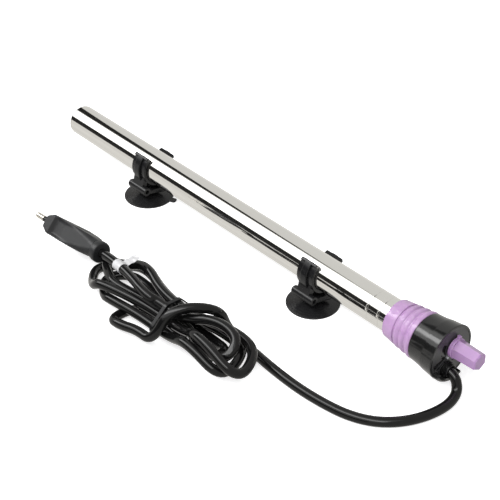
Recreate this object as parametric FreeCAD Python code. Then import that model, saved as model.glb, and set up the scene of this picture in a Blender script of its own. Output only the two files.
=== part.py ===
import FreeCAD, Part
import math
import os
from FreeCAD import Rotation, Vector

os.makedirs("parts", exist_ok=True)

# Millimetres. The heater lies along X with its head at +X, and stands on its
# two suction cups at z = 0. A station is a distance along the tube, counted
# from the tube's closed end.

# Heater tube
tube_radius = 11.0
tube_wall = 0.6
tube_length = 328.0
tube_corner = 1.6
groove_setbacks = (26.5, 17.5)
groove_width = 1.8
groove_depth = 0.35

# Clearances
slip_gap = 0.05
running_gap = 0.05
seat_gap = 0.3
clip_gap = 0.3
ring_clearance = 0.03

# Boot
boot_grip = 11.3
boot_length = 23.0
boot_start_radius = 12.8
boot_end_radius = 15.6
boot_collar_length = 8.4
boot_rib_count = 3
boot_rib_height = 1.15

# Head
head_length = 19.5
head_start_radius = 15.6
head_end_radius = 18.1
head_wall = 3.1
head_floor = 3.0
rim_width = 1.5
spigot_length = 12.0
spigot_clearance = 0.1
ring_section = 0.75
ring_stations = (3.5, 8.0)
lip_height = 4.3
lip_width = 3.2
lip_half_angle = 40.0
cover_thickness = 1.8
cover_recess = 0.2
cover_clearance = 0.1
recess_depth = 0.9
pocket_depth = 1.1
screw_offset = (2.6, -5.6)
screw_head_radius = 1.25
screw_radius = 0.9
screw_sink = 1.2
lens_offset = (-2.3, -2.6)
lens_radius = 0.75
lens_base_thickness = 1.2
lamp_radius = 1.45
lamp_length = 8.0
lamp_room = 2.95

# Knob, its shaft, and the nut that the shaft's thread moves
knob_offset = (2.2, 3.6)
knob_flange_radius = 6.6
knob_flange_length = 2.6
knob_base_corner = 6.2
knob_tip_corner = 5.8
knob_grip_length = 16.5
knob_chamfer = 0.7
knob_bore_depth = 9.0
knob_collar_radius = 4.6
knob_collar_length = 4.0
shaft_radius = 2.0
spindle_radius = 1.5
clip_ring_radius = 3.3
clip_ring_thickness = 0.8
nut_length = 6.0
nut_width = 6.0
nut_height = 5.6

# Lead outlet
outlet_offset = (-3.4, -9.7)
gland_radius = 4.2
gland_flange_radius = 5.2
gland_room = 0.2
outlet_boss_radius = 4.9
cord_radius = 3.15

# Thermostat
frame_length = 79.7
frame_clearance = 0.05
frame_thickness = 2.0
frame_drop = 6.0
strip_width = 4.4
strip_thickness = 0.6
contact_radius = 1.2
contact_gap = 0.5
contact_height = 0.8
arm_setback = 34.3
arm_length = 24.0
bimetal_lift = 1.4
clamp_length = 8.0
rail_wall = 1.3
rail_setback = 43.0
rail_length = 21.0
rail_top = 4.4
nut_setback = 50.0
supply_radius = 0.9
supply_height = -2.9
supply_pitch = 2.1
supply_clearance = 0.1
supply_wall = 0.77

# Heating core
core_radius = 7.6
core_length = 150.0
core_bore_circle = 4.6
core_bore_radius = 1.1
core_bore_count = 6
wire_radius = 0.8
disc_clearance = 0.25
disc_thickness = 1.0
third_disc_setback = 36.0
end_pad_length = 5.0
lead_radius = 0.7
lead_depth = 8.0
lead_bores = (3, 5)

# Holders and suction cups
cup_stations = (84.6, 251.4)
holder_lean = 16.0
cup_drop = 17.0
cup_pivot_height = 7.66
cup_radius = 17.55
cup_neck_radius = 2.6
cup_room = 5.0
clip_wall = 1.9
clip_width = 13.5
clip_mouth_half_angle = 54.7
lip_bar_thickness = 2.4
arm_rib_width = 5.2
arm_rib_height = 1.7
barrel_radius = 3.0
barrel_length = 18.9
barrel_offset = 9.1
barrel_lift = 0.5
barrel_hole_radius = 1.5
barrel_hole_depth = 6.5
plate_thickness = 1.8
plate_rear = 7.5
side_bar_radius = 1.7

# Tie and label on the lead
tie_thickness = 1.0
tie_width = 2.4
tie_gap = 0.25
label_wall = 0.3
label_length = 8.0
flag_length = 10.0

# Plug
pin_radius = 2.0
pin_length = 19.0
pin_shank_radius = 1.4
pin_anchor = 8.5
pin_sleeve_radius = 1.75
pin_sleeve_length = 10.0
pin_spacing = 18.6
scoop_radius = 22.0
scoop_depth = 1.5
plug_width = 35.0
plug_thickness = 13.7
plug_neck_radius = 5.6
plug_collar_radius = 6.8
plug_collar_length = 4.4
plug_face = Vector(-94.5, -83.8, 14.2)
plug_heel = Vector(-49.3, -85.1, 19.2)
plug_tilt = Vector(0.12, 0.71, -0.69)

# Overall length for which the lead's points were chosen
chosen_length = 378.9

# Where the pieces lie along the tube
groove_stations = [tube_length - setback for setback in groove_setbacks]
boot_start = tube_length - boot_grip
boot_end = boot_start + boot_length
head_start = boot_end + seat_gap
head_end = head_start + head_length
spigot_start = tube_length - spigot_length
cover_front = head_end - cover_recess
cover_back = cover_front - cover_thickness
flange_back = head_end + seat_gap
flange_front = flange_back + knob_flange_length
knob_tip = flange_front + knob_grip_length
overall_length = knob_tip
lead_shift = Vector((overall_length - chosen_length) / 2, 0, 0)
knob_bore_end = flange_front + knob_bore_depth
tube_bore = tube_radius - tube_wall
cover_radius = head_end_radius - rim_width - cover_clearance
knob_collar_start = cover_back - knob_collar_length
clip_station = knob_collar_start - seat_gap - clip_ring_thickness
ring_station = cover_back - 1.6
screw_seat = cover_front - screw_sink
cavity_floor = head_start + head_floor
screw_start = cavity_floor + 2
lamp_end = cover_back - lens_base_thickness - slip_gap - seat_gap
lamp_start = lamp_end - lamp_length
lip_end = head_end + lip_height
lip_inner = head_end_radius - 0.3 - lip_width
outlet_angle = math.degrees(math.atan2(outlet_offset[1], outlet_offset[0])) % 360
gland_front = lip_end - 0.2
gland_back = cavity_floor + gland_room
frame_end = spigot_start - seat_gap
frame_start = frame_end - frame_length
arm_root = frame_start + arm_setback
rail_start = frame_start + rail_setback
rail_end = rail_start + rail_length
nut_start = frame_start + nut_setback
pad_end = tube_wall + seat_gap + end_pad_length
disc_stations = (pad_end + seat_gap,
                 pad_end + disc_thickness + core_length + 3 * seat_gap,
                 frame_start - third_disc_setback)
core_start = disc_stations[0] + disc_thickness + seat_gap
core_end = core_start + core_length

# Widths, heights and places in the tube, from its axis. The board's lower corners
# pass the grooves, and the supply wires pass inside the ring grooves.
disc_radius = tube_bore - disc_clearance
frame_corner = tube_bore - groove_depth - frame_clearance
frame_width = 2 * math.sqrt(frame_corner ** 2 - frame_drop ** 2)
ring_floor = tube_bore - spigot_clearance - 2 * ring_section
supply_reach = ring_floor - supply_wall - supply_radius - supply_clearance
supply_left = -math.sqrt(supply_reach ** 2 - supply_height ** 2)
supply_offsets = [(supply_left, supply_height), (supply_left + supply_pitch, supply_height)]
board_top = -frame_drop + frame_thickness
strip_mid = knob_offset[0]
strip_left = strip_mid - strip_width / 2
strip_right = strip_mid + strip_width / 2
bimetal_low = board_top + bimetal_lift
bimetal_top = bimetal_low + strip_thickness
arm_low = bimetal_top + 2 * contact_height + contact_gap
arm_top = arm_low + strip_thickness - 0.1
clamp_end = arm_root - seat_gap
contact_station = arm_root + arm_length - 3
rail_inner = nut_width / 2 + 0.2
bearing_end = rail_start + 4
spindle_end = rail_start + 0.8

# The lean carries the cups forward of the tube, and the origin lies under the
# middle of the box round cups, tube and head.
lean = math.radians(holder_lean)
cup_forward = cup_drop * math.sin(lean)
tube_y = (cup_forward + cup_radius - head_end_radius) / 2
cup_y = tube_y - cup_forward
axis_height = cup_pivot_height + cup_drop * math.cos(lean)
AXIS = Vector(1, 0, 0)


def x_at(station):
    return station - overall_length / 2


def at(station, offset=(0, 0)):
    return Vector(x_at(station), tube_y + offset[0], axis_height + offset[1])


def rod(start, end, radius, offset=(0, 0)):
    return Part.makeCylinder(radius, end - start, at(start, offset), AXIS)


def collar(start, end, outer, inner, offset=(0, 0)):
    return rod(start, end, outer, offset).cut(rod(start - 1, end + 1, inner, offset))


def block(start, end, left, right, low, high):
    corner = at(start, (left, low))
    return Part.makeBox(end - start, right - left, high - low, corner)


def outline(steps):
    # A step is a point, or a middle and an end point for an arc.
    edges = []
    here = steps[0]
    for step in steps[1:] + [steps[0]]:
        if isinstance(step, tuple):
            edges.append(Part.Arc(here, step[0], step[1]).toShape())
            here = step[1]
        else:
            edges.append(Part.LineSegment(here, step).toShape())
            here = step
    return Part.Face(Part.Wire(edges))


def turned(steps, offset=(0, 0)):
    # Steps are (station, radius), and the form turns about a line along X.
    def place(point):
        return at(point[0], (offset[0], offset[1] + point[1]))

    points = [place(s) if not isinstance(s[0], tuple) else (place(s[0]), place(s[1]))
              for s in steps]
    return outline(points).revolve(at(0, offset), AXIS, 360)


def turned_up(steps, x, y):
    # Steps are (radius, height), and the form turns about a line along Z.
    def place(point):
        return Vector(x + point[0], y, point[1])

    points = [place(s) if not isinstance(s[0], tuple) else (place(s[0]), place(s[1]))
              for s in steps]
    return outline(points).revolve(Vector(x, y, 0), Vector(0, 0, 1), 360)


def wedge(start, end, centre_angle, half_angle, reach, offset=(0, 0)):
    # A slice of a cylinder along X, from 0 to 360 degrees measured from +Y.
    low = math.radians(centre_angle - half_angle)
    high = math.radians(centre_angle + half_angle)
    mid = (low + high) / 2

    def rim(angle):
        y = offset[0] + reach * math.cos(angle)
        z = offset[1] + reach * math.sin(angle)
        return at(start, (y, z))

    face = outline([at(start, offset), rim(low), (rim(mid), rim(high))])
    return face.extrude(Vector(end - start, 0, 0))


def torus_x(station, ring_radius, section, offset=(0, 0)):
    return Part.makeTorus(ring_radius, section, at(station, offset), AXIS)


# Heater tube and what lies in it


def make_tube():
    def grooved(radius):
        steps = []
        for station in groove_stations:
            steps.append((station - groove_width / 2, radius))
            steps.append(((station, radius - groove_depth),
                          (station + groove_width / 2, radius)))
        return steps

    knee = tube_corner * (1 - math.sqrt(0.5))
    outer = [(0, 0), (0, tube_radius - tube_corner),
             ((knee, tube_radius - knee), (tube_corner, tube_radius))]
    outer += grooved(tube_radius)
    outer += [(tube_length, tube_radius), (tube_length, 0)]
    inner_corner = tube_corner - tube_wall
    knee = inner_corner * (1 - math.sqrt(0.5))
    inner = [(tube_wall, 0), (tube_wall, tube_bore - inner_corner),
             ((tube_wall + knee, tube_bore - knee), (tube_corner, tube_bore))]
    inner += grooved(tube_bore)
    inner += [(tube_length + 1, tube_bore), (tube_length + 1, 0)]
    return turned(outer).cut(turned(inner))


def bore_offsets():
    places = []
    for k in range(core_bore_count):
        angle = math.radians(30 + 360 * k / core_bore_count)
        places.append((core_bore_circle * math.cos(angle),
                       core_bore_circle * math.sin(angle)))
    return places


def make_end_pad():
    radius = tube_bore - tube_corner
    pad = rod(tube_wall + seat_gap, pad_end, radius)
    return pad.makeFillet(0.8, [edge for edge in pad.Edges if edge.Closed])


def make_core():
    core = rod(core_start, core_end, core_radius)
    for offset in bore_offsets():
        core = core.cut(rod(core_start - 1, core_end + 1, core_bore_radius, offset))
    return core


def make_heating_wires():
    wires = []
    for k, offset in enumerate(bore_offsets()):
        end = core_end - 1
        if k in lead_bores:
            end = core_end - lead_depth
        wires.append(rod(core_start + 1, end, wire_radius, offset))
    return Part.makeCompound(wires)


def make_discs():
    discs = []
    for station in disc_stations:
        disc = rod(station, station + disc_thickness, disc_radius)
        for k in lead_bores:
            hole = rod(station - 1, station + disc_thickness + 1,
                       lead_radius + slip_gap, bore_offsets()[k])
            disc = disc.cut(hole)
        discs.append(disc)
    return Part.makeCompound(discs)


def make_heater_leads():
    start = core_end - lead_depth + seat_gap
    return Part.makeCompound([rod(start, frame_start + 5, lead_radius, bore_offsets()[k])
                              for k in lead_bores])


# Thermostat: a board with a clamp for two strips, rails for the nut and a
# bearing for the spindle's end


def make_frame():
    half = frame_width / 2
    frame = block(frame_start, frame_end, -half, half, -frame_drop, board_top)
    clamp = block(clamp_end - clamp_length, clamp_end, strip_left - 1, strip_right + 1,
                  board_top, bimetal_low - slip_gap)
    upper = block(clamp_end - clamp_length, clamp_end, strip_left - 1, strip_right + 1,
                  bimetal_top + slip_gap, arm_top + 1)
    sides = [block(clamp_end - clamp_length, clamp_end, strip_left - 1,
                   strip_left - slip_gap, board_top, arm_top + 1),
             block(clamp_end - clamp_length, clamp_end, strip_right + slip_gap,
                   strip_right + 1, board_top, arm_top + 1)]
    frame = frame.fuse([clamp, upper] + sides)
    for side in (-1, 1):
        near = strip_mid + side * rail_inner
        far = near + side * rail_wall
        frame = frame.fuse(block(rail_start, rail_end, min(near, far), max(near, far),
                                 board_top, rail_top))
    bearing = block(rail_start, bearing_end, strip_mid - rail_inner, strip_mid + rail_inner,
                    arm_top + 0.7, knob_offset[1] + 2.4)
    bearing = bearing.cut(rod(rail_start - 1, bearing_end + 1,
                              spindle_radius + running_gap, knob_offset))
    frame = frame.fuse(bearing)
    for station in (frame_start + 22, frame_start + 58):
        hole = Part.makeCylinder(1.2, frame_thickness + 2,
                                 at(station, (-half + 2.6, -frame_drop - 1)))
        frame = frame.cut(hole)
    return frame.removeSplitter()


def make_bimetal():
    start = clamp_end - clamp_length
    end = arm_root + arm_length + 2
    return block(start, end, strip_left, strip_right, bimetal_low, bimetal_top)


def make_contact_arm():
    end = arm_root + arm_length
    arm = block(arm_root, end, strip_left, strip_right, arm_low, arm_top)
    slot = block(arm_root + 4, arm_root + 13, strip_mid - 0.6, strip_mid + 0.6,
                 arm_low - 1, arm_top + 1)
    return arm.cut(slot)


def make_contact(low, high):
    base = at(contact_station, (strip_mid, low))
    return Part.makeCylinder(contact_radius, high - low, base, Vector(0, 0, 1))


def make_magnet():
    end = rail_end - 3.2
    return block(end - 4, end, strip_left + 0.4, strip_right - 0.4, board_top,
                 bimetal_low - seat_gap)


def make_capacitor():
    body = block(frame_start + 7, frame_start + 19, -4.5, 4.5, board_top + slip_gap, 2.0)
    return body.makeFillet(0.8, body.Edges)


def make_nut():
    low = knob_offset[1] - nut_height / 2 + 0.2
    nut = block(nut_start, nut_start + nut_length, strip_mid - nut_width / 2,
                strip_mid + nut_width / 2, low, low + nut_height)
    toe = at(nut_start, (strip_mid, low))
    cut = Part.makeBox(3, nut_width + 2, 3, Vector(-1.5, -nut_width / 2 - 1, -1.5))
    cut.rotate(Vector(0, 0, 0), Vector(0, 1, 0), 45)
    cut.translate(toe)
    nut = nut.cut(cut)
    return nut.cut(rod(nut_start - 1, nut_start + nut_length + 1,
                       spindle_radius + running_gap, knob_offset))


# Boot and head


def make_boot():
    inner = tube_radius + slip_gap
    slope = (boot_end_radius - boot_start_radius) / boot_length

    def skin(station):
        return boot_start_radius + slope * (station - boot_start)

    collar_end = boot_start + boot_collar_length
    steps = [(boot_start, inner), (boot_start, boot_start_radius - 0.5),
             ((boot_start + 0.15, boot_start_radius - 0.15),
              (boot_start + 0.5, boot_start_radius)),
             (collar_end - 0.6, skin(collar_end)),
             ((collar_end - 0.15, skin(collar_end) - 0.2),
              (collar_end, skin(collar_end) - 0.8))]
    pitch = (boot_length - boot_collar_length) / boot_rib_count
    land = 0.7
    for k in range(boot_rib_count):
        start = collar_end + k * pitch
        low = skin(start) - 0.8
        steps.append((start + land, low))
        end = start + pitch
        last = skin(end) - 0.8
        if k == boot_rib_count - 1:
            last = skin(end) - 0.3
        peak = skin(start + pitch / 2) - 0.8 + boot_rib_height
        steps.append(((start + (land + pitch) / 2, peak), (end, last)))
    steps.append((boot_end, inner))
    return turned(steps)


def head_shell():
    spigot = tube_bore - spigot_clearance
    neck = tube_radius
    shoulder = tube_length + 0.2
    steps = [(spigot_start, 0), (spigot_start, spigot)]
    for station in ring_stations:
        left = spigot_start + station - ring_section - 0.1
        right = spigot_start + station + ring_section + 0.1
        steps += [(left, spigot), (left, ring_floor), (right, ring_floor), (right, spigot)]
    flare = head_start + 0.55 * head_length
    cavity = head_end_radius - rim_width - head_wall
    steps += [(shoulder, spigot), (shoulder, neck), (head_start, neck),
              (head_start, head_start_radius - 0.5),
              ((head_start + 0.15, head_start_radius - 0.15),
               (head_start + 0.5, head_start_radius)),
              ((flare - 3.5, head_start_radius + 0.75), (flare, head_start_radius + 1.45)),
              ((flare + 4, head_end_radius - 0.6), (head_end - 0.6, head_end_radius)),
              ((head_end - 0.15, head_end_radius - 0.15),
               (head_end, head_end_radius - 0.6)),
              (head_end, head_end_radius - rim_width),
              (cover_back - seat_gap, head_end_radius - rim_width),
              (cover_back - seat_gap, cavity), (cavity_floor, cavity),
              (cavity_floor, 0)]
    return turned(steps)


def make_head():
    head = head_shell()
    outer = head_end_radius - 0.1
    ring = turned([(cover_back - seat_gap - 1, lip_inner), (cover_back - seat_gap - 1, outer - 1),
                   (head_end - 0.8, outer), (head_end + 1, outer - 0.1),
                   ((lip_end - 1, outer - 0.5), (lip_end, outer - 1.6)),
                   (lip_end, lip_inner)])
    slice_cut = wedge(cover_back - 2, lip_end + 1, outlet_angle, lip_half_angle,
                      head_end_radius + 2)
    head = head.fuse(ring.common(slice_cut))
    boss = rod(gland_back + 6, lip_end - 1.4, outlet_boss_radius, outlet_offset)
    post = rod(cavity_floor - 0.5, cover_back - seat_gap, screw_radius + 1.3, screw_offset)
    post = post.cut(rod(screw_start - 0.5, cover_back, screw_radius + slip_gap, screw_offset))
    head = head.fuse([boss, post])
    flange_end = gland_back + 6.4
    head = head.cut(rod(flange_end - 0.5, lip_end + 1, gland_radius + slip_gap, outlet_offset))
    head = head.cut(rod(cavity_floor, flange_end, gland_flange_radius + slip_gap,
                        outlet_offset))
    head = head.cut(rod(spigot_start - 1, cavity_floor + 1, shaft_radius + running_gap,
                        knob_offset))
    for offset in supply_offsets:
        head = head.cut(rod(spigot_start - 1, cavity_floor + 1,
                            supply_radius + supply_clearance, offset))
    return head.removeSplitter()


def make_supply_wires():
    return Part.makeCompound([rod(rail_end + 2, lamp_start - lamp_room, supply_radius, offset)
                              for offset in supply_offsets])


def make_spigot_rings():
    radius = tube_bore - spigot_clearance - ring_section
    return Part.makeCompound([torus_x(spigot_start + station, radius,
                                      ring_section - ring_clearance)
                              for station in ring_stations])


def make_gland():
    flange_start = gland_back + 4.0
    flange_end = gland_back + 6.2
    steps = [(gland_back, cord_radius + 0.1), (gland_back, 3.7), (flange_start, 4.5),
             (flange_start, gland_flange_radius), (flange_end, gland_flange_radius),
             (flange_end, gland_radius), (gland_front - 0.6, gland_radius),
             ((gland_front - 0.18, gland_radius - 0.18), (gland_front, gland_radius - 0.5)),
             (gland_front, cord_radius + 0.5), (gland_front - 1.6, cord_radius + 0.1)]
    return turned(steps, outlet_offset)


# End cover. The recess beside the knob, the ribbed pocket, the screw hole and
# the lens hole are cut into its face.


def pocket_ribs():
    ribs = []
    low = cover_front - pocket_depth - 0.1
    for start, end in (((-16.2, 0.5), (-7.4, 1.0)), ((-11.7, -6.0), (-3.6, -2.3))):
        length = math.hypot(end[0] - start[0], end[1] - start[1])
        turn = math.degrees(math.atan2(end[1] - start[1], end[0] - start[0]))
        rib = Part.makeBox(pocket_depth + 0.1, length, 0.8, Vector(0, 0, -0.4))
        rib.rotate(Vector(0, 0, 0), AXIS, turn)
        rib.translate(at(low, start))
        ribs.append(rib)
    return ribs


def make_cover():
    cover = rod(cover_back, cover_front, cover_radius)
    cover = cover.fuse(rod(knob_collar_start, cover_back, knob_collar_radius, knob_offset))
    lip_room = wedge(cover_back - 1, cover_front + 1, outlet_angle, lip_half_angle + 1,
                     head_end_radius + 2)
    lip_room = lip_room.cut(rod(cover_back - 2, cover_front + 2, lip_inner - 0.2))
    cover = cover.cut(lip_room)
    arc = collar(cover_front - recess_depth, cover_front + 1, 11.0, 7.2, knob_offset)
    arc = arc.common(wedge(cover_front - 2, cover_front + 2, 190, 42, 20, knob_offset))
    cover = cover.cut(arc.common(rod(cover_front - 2, cover_front + 2, 15.2)))
    pocket = collar(cover_front - pocket_depth, cover_front + 1, 15.0, 5.6)
    pocket = pocket.common(wedge(cover_front - 2, cover_front + 2, 204, 15, 20))
    room = rod(cover_front - 3, cover_front + 3, 14.8)
    cover = cover.cut(pocket).fuse([rib.common(room) for rib in pocket_ribs()])
    cover = cover.cut(rod(cover_back - 1, cover_front + 1, outlet_boss_radius + 0.1,
                          outlet_offset))
    cover = cover.cut(rod(screw_seat, cover_front + 1, screw_head_radius + slip_gap,
                          screw_offset))
    cover = cover.cut(rod(cover_back - 1, cover_front + 1, screw_radius + slip_gap,
                          screw_offset))
    cover = cover.cut(rod(cover_back - 1, cover_front + 1, lens_radius + slip_gap,
                          lens_offset))
    cover = cover.cut(rod(knob_collar_start - 1, cover_front + 1, shaft_radius + running_gap,
                          knob_offset))
    groove = rod(ring_station - ring_section - 0.1, ring_station + ring_section + 0.1,
                 shaft_radius + 2 * ring_section, knob_offset)
    return cover.cut(groove).removeSplitter()


def make_cover_screw():
    head = rod(screw_seat, cover_front - 0.4, screw_head_radius, screw_offset)
    head = head.cut(rod(cover_front - 0.8, cover_front, 0.5, screw_offset))
    return head.fuse(rod(screw_start, screw_seat, screw_radius, screw_offset))


def make_shaft_ring():
    return torus_x(ring_station, shaft_radius + ring_section,
                   ring_section - ring_clearance, knob_offset)


def make_shaft():
    step = head_start - 8
    shaft = rod(step, flange_back - slip_gap, shaft_radius, knob_offset)
    shaft = shaft.fuse(rod(spindle_end, step, spindle_radius, knob_offset))
    shaft = shaft.fuse(rod(flange_back - slip_gap, knob_bore_end - seat_gap,
                           spindle_radius, knob_offset))
    groove = collar(clip_station - slip_gap, clip_station + clip_ring_thickness + slip_gap,
                    shaft_radius + 1, shaft_radius - 0.5, knob_offset)
    return shaft.cut(groove).removeSplitter()


def make_shaft_clip():
    ring = collar(clip_station, clip_station + clip_ring_thickness, clip_ring_radius,
                  shaft_radius - 0.5 + slip_gap, knob_offset)
    mouth = wedge(clip_station - 1, clip_station + 2, 270, 35, clip_ring_radius + 1,
                  knob_offset)
    return ring.cut(mouth)


def make_knob():
    def hexagon(station, corner):
        points = []
        for k in range(7):
            angle = math.radians(90 + 60 * k)
            y = knob_offset[0] + corner * math.cos(angle)
            z = knob_offset[1] + corner * math.sin(angle)
            points.append(at(station, (y, z)))
        return Part.makePolygon(points)

    flange = rod(flange_back, flange_front, knob_flange_radius, knob_offset)
    flange = flange.makeFillet(0.5, [edge for edge in flange.Edges if edge.Closed])
    grip_end = knob_tip - knob_chamfer
    grip = Part.makeLoft([hexagon(flange_front - 0.2, knob_base_corner),
                          hexagon(grip_end, knob_tip_corner)], True)
    tip = Part.makeLoft([hexagon(grip_end, knob_tip_corner),
                         hexagon(knob_tip, knob_tip_corner - knob_chamfer)], True)
    knob = flange.fuse([grip, tip])
    nub = Part.makeBox(knob_flange_length - 0.4, 2.6, 1.8,
                       Vector(0, knob_flange_radius - 1.2, -0.9))
    nub.rotate(Vector(0, 0, 0), AXIS, 75)
    nub.translate(at(flange_back + 0.2, knob_offset))
    knob = knob.fuse(nub)
    return knob.cut(rod(flange_back - 1, knob_bore_end, spindle_radius + 0.02, knob_offset))


def make_lens():
    base_end = cover_back - slip_gap
    lens = rod(base_end - lens_base_thickness, base_end, lens_radius + 0.6, lens_offset)
    return lens.fuse(rod(base_end, cover_front + 0.25, lens_radius, lens_offset))


def make_pilot_lamp():
    lamp = rod(lamp_start, lamp_end, lamp_radius, lens_offset)
    tip = [edge for edge in lamp.Edges
           if edge.Closed and edge.CenterOfMass.x > x_at(lamp_end - 1)]
    return lamp.makeFillet(0.6 * lamp_radius, tip)


# Holders and suction cups


def make_holder(station):
    # Built upright with the tube's axis as origin, then leaned about it.
    inner = tube_radius + clip_gap
    outer = inner + clip_wall
    plate_mid = -cup_drop
    plate_low = plate_mid - plate_thickness / 2
    barrel_z = plate_mid + barrel_lift
    half = clip_width / 2

    def bar(radius, length, y, z):
        return Part.makeCylinder(radius, length, Vector(-length / 2, y, z), AXIS)

    def box(x_half, y0, y1, z0, z1):
        return Part.makeBox(2 * x_half, y1 - y0, z1 - z0, Vector(-x_half, y0, z0))

    holder = bar(outer, clip_width, 0, 0)
    rib_outer = outer + arm_rib_height
    rib = bar(rib_outer, arm_rib_width, 0, 0)
    rib = rib.makeFillet(0.6, [edge for edge in rib.Edges if edge.Closed])
    # The rib stops over the cup's head, which tilts there.
    rib = rib.cut(box(arm_rib_width, -cup_room, cup_room, -2 * outer, -outer))
    holder = holder.fuse(rib)
    holder = holder.fuse(box(half - 1.5, -barrel_offset - 1.6, -barrel_offset + 2.2,
                             barrel_z, -6))
    holder = holder.fuse(box(half - 1.5, plate_rear - 2.4, plate_rear - 0.4, plate_mid, -8))
    plate = box(barrel_length / 2, -barrel_offset, plate_rear, plate_low,
                plate_low + plate_thickness)
    window = box(barrel_length / 2 - 2 * side_bar_radius + 0.4, -barrel_offset + 2, plate_rear + 1,
                 plate_low - 1, plate_mid + plate_thickness)
    tongue = box(6.2, -barrel_offset, plate_rear - 0.4, plate_low,
                 plate_low + plate_thickness)
    plate = plate.cut(window).fuse(tongue)
    for side in (-1, 1):
        base = Vector(side * (barrel_length / 2 - side_bar_radius), -barrel_offset + 1,
                      plate_mid)
        plate = plate.fuse(Part.makeCylinder(side_bar_radius, plate_rear + barrel_offset - 1,
                                             base, Vector(0, 1, 0)))
    holder = holder.fuse(plate)
    barrel = bar(barrel_radius, barrel_length, -barrel_offset, barrel_z)
    ends = [edge for edge in barrel.Edges if edge.Closed and edge.CenterOfMass.x < 0]
    barrel = barrel.makeFillet(barrel_radius * 0.6, ends)
    holder = holder.fuse(barrel)
    mouth = math.radians(90)
    spread = math.radians(clip_mouth_half_angle)
    reach = 2 * outer
    gap = Part.makePolygon([Vector(-barrel_length, 0, 0)]
                           + [Vector(-barrel_length, reach * math.cos(a), reach * math.sin(a))
                              for a in (mouth - spread, mouth, mouth + spread)]
                           + [Vector(-barrel_length, 0, 0)])
    holder = holder.cut(Part.Face(gap).extrude(Vector(2 * barrel_length, 0, 0)))
    for side in (-1, 1):
        lip = box(half, -lip_bar_thickness / 2, lip_bar_thickness / 2, inner, outer + 1.5)
        lip = lip.makeFillet(0.7, [edge for edge in lip.Edges
                                   if edge.CenterOfMass.z > outer + 1])
        lip.rotate(Vector(0, 0, 0), AXIS, side * (clip_mouth_half_angle + 3))
        holder = holder.fuse(lip)
    holder = holder.cut(bar(inner, 3 * barrel_length, 0, 0))
    holder = holder.cut(Part.makeCylinder(cup_neck_radius + 0.5, 5,
                                          Vector(0, 0, plate_mid - 3)))
    holder = holder.cut(Part.makeCylinder(barrel_hole_radius, barrel_hole_depth + 1,
                                          Vector(barrel_length / 2 - barrel_hole_depth,
                                                 -barrel_offset, barrel_z), AXIS))
    holder = holder.removeSplitter()
    holder.rotate(Vector(0, 0, 0), AXIS, -holder_lean)
    holder.translate(at(station))
    return holder


def make_cup(station, tab=False):
    neck = cup_neck_radius
    pivot = cup_pivot_height
    skirt = 0.9
    steps = [(0, 2.3), ((9.0, 1.55), (cup_radius - 1.1, 0)), (cup_radius - 0.3, 0),
             ((cup_radius - 0.05, 0.25), (cup_radius - 0.2, skirt)),
             ((12.6, 1.75), (8.6, 2.7)), ((5.6, 3.8), (neck + 0.5, 5.2)),
             (neck, pivot - plate_thickness / 2 - 0.7), (neck, pivot + 1.85),
             (neck + 0.9, pivot + 2.15), (neck + 0.9, pivot + 2.45),
             ((neck + 0.55, pivot + 2.75), (neck - 0.2, pivot + 2.9)), (0, pivot + 2.9)]
    cup = turned_up(steps, x_at(station), cup_y)
    if tab:
        pull = Part.makeBox(7.4, 4.6, 0.7, Vector(cup_radius - 3.6, -2.3, 0.25))
        outer = [edge for edge in pull.Edges if edge.CenterOfMass.x > cup_radius + 3
                 and abs(edge.CenterOfMass.y) > 2]
        pull = pull.makeFillet(1.6, outer)
        pull.rotate(Vector(0, 0, 0), Vector(0, 0, 1), 24.5)
        pull.translate(Vector(x_at(station), cup_y, 0))
        under = [(0, 0), (0, 2.3), ((9.0, 1.55), (cup_radius - 1.1, 0))]
        pull = pull.cut(turned_up(under, x_at(station), cup_y))
        cup = cup.fuse(pull)
    return cup


# Mains lead. The free run and the tail follow chosen points as straight runs
# joined by arcs.


def run_path(points):
    edges = []
    radii = []
    start = points[0]
    for k in range(1, len(points) - 1):
        back = points[k - 1] - points[k]
        ahead = points[k + 1] - points[k]
        runs = (back.Length, ahead.Length)
        half_turn = (math.pi - back.getAngle(ahead)) / 2
        tangent = 0.45 * min(runs)
        radii.append(tangent / math.tan(half_turn))
        back.normalize()
        ahead.normalize()
        first = points[k] + back * tangent
        last = points[k] + ahead * tangent
        bisector = back + ahead
        bisector.normalize()
        rise = radii[-1] / math.cos(half_turn) - radii[-1]
        edges.append(Part.LineSegment(start, first).toShape())
        edges.append(Part.Arc(first, points[k] + bisector * rise, last).toShape())
        start = last
    edges.append(Part.LineSegment(start, points[-1]).toShape())
    return Part.Wire(edges), radii


def swept(path, radius):
    start = path.Edges[0].valueAt(path.Edges[0].FirstParameter)
    heading = path.Edges[0].tangentAt(path.Edges[0].FirstParameter)
    section = Part.Wire(Part.Circle(start, heading, radius).toShape())
    shell = Part.BRepOffsetAPI.MakePipeShell(path)
    shell.add(section)
    shell.build()
    shell.makeSolid()
    return shell.shape()


def report_tube(name, solid, path, radii):
    expected = math.pi * cord_radius ** 2 * path.Length
    print(name, "length", round(path.Length, 1), "least radius", round(min(radii), 1),
          "volume ratio", round(solid.Volume / expected, 4), "lowest",
          round(solid.BoundBox.ZMin, 3))


def lying(x, y, lift=0.0):
    # A point of the lead's middle line, lifted from where it lies on the floor.
    return Vector(x, y, cord_radius + lift) + lead_shift


# Tied hank. Its lobes lie to both sides of the waist, where the tie holds all
# strands but the first. Each strand's place at the waist is its y from the
# middle and its lift, in the order that the lead passes them.
waist = lying(23.5, -86.9)
strands = [(-22.0, 5.5), (-4.0, 1.5), (10.0, 1.5), (-12.5, 6.5), (9.5, 9.5),
           (-4.5, 8.5), (5.0, 15.0), (3.0, 5.5), (-2.5, 15.5)]

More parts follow.
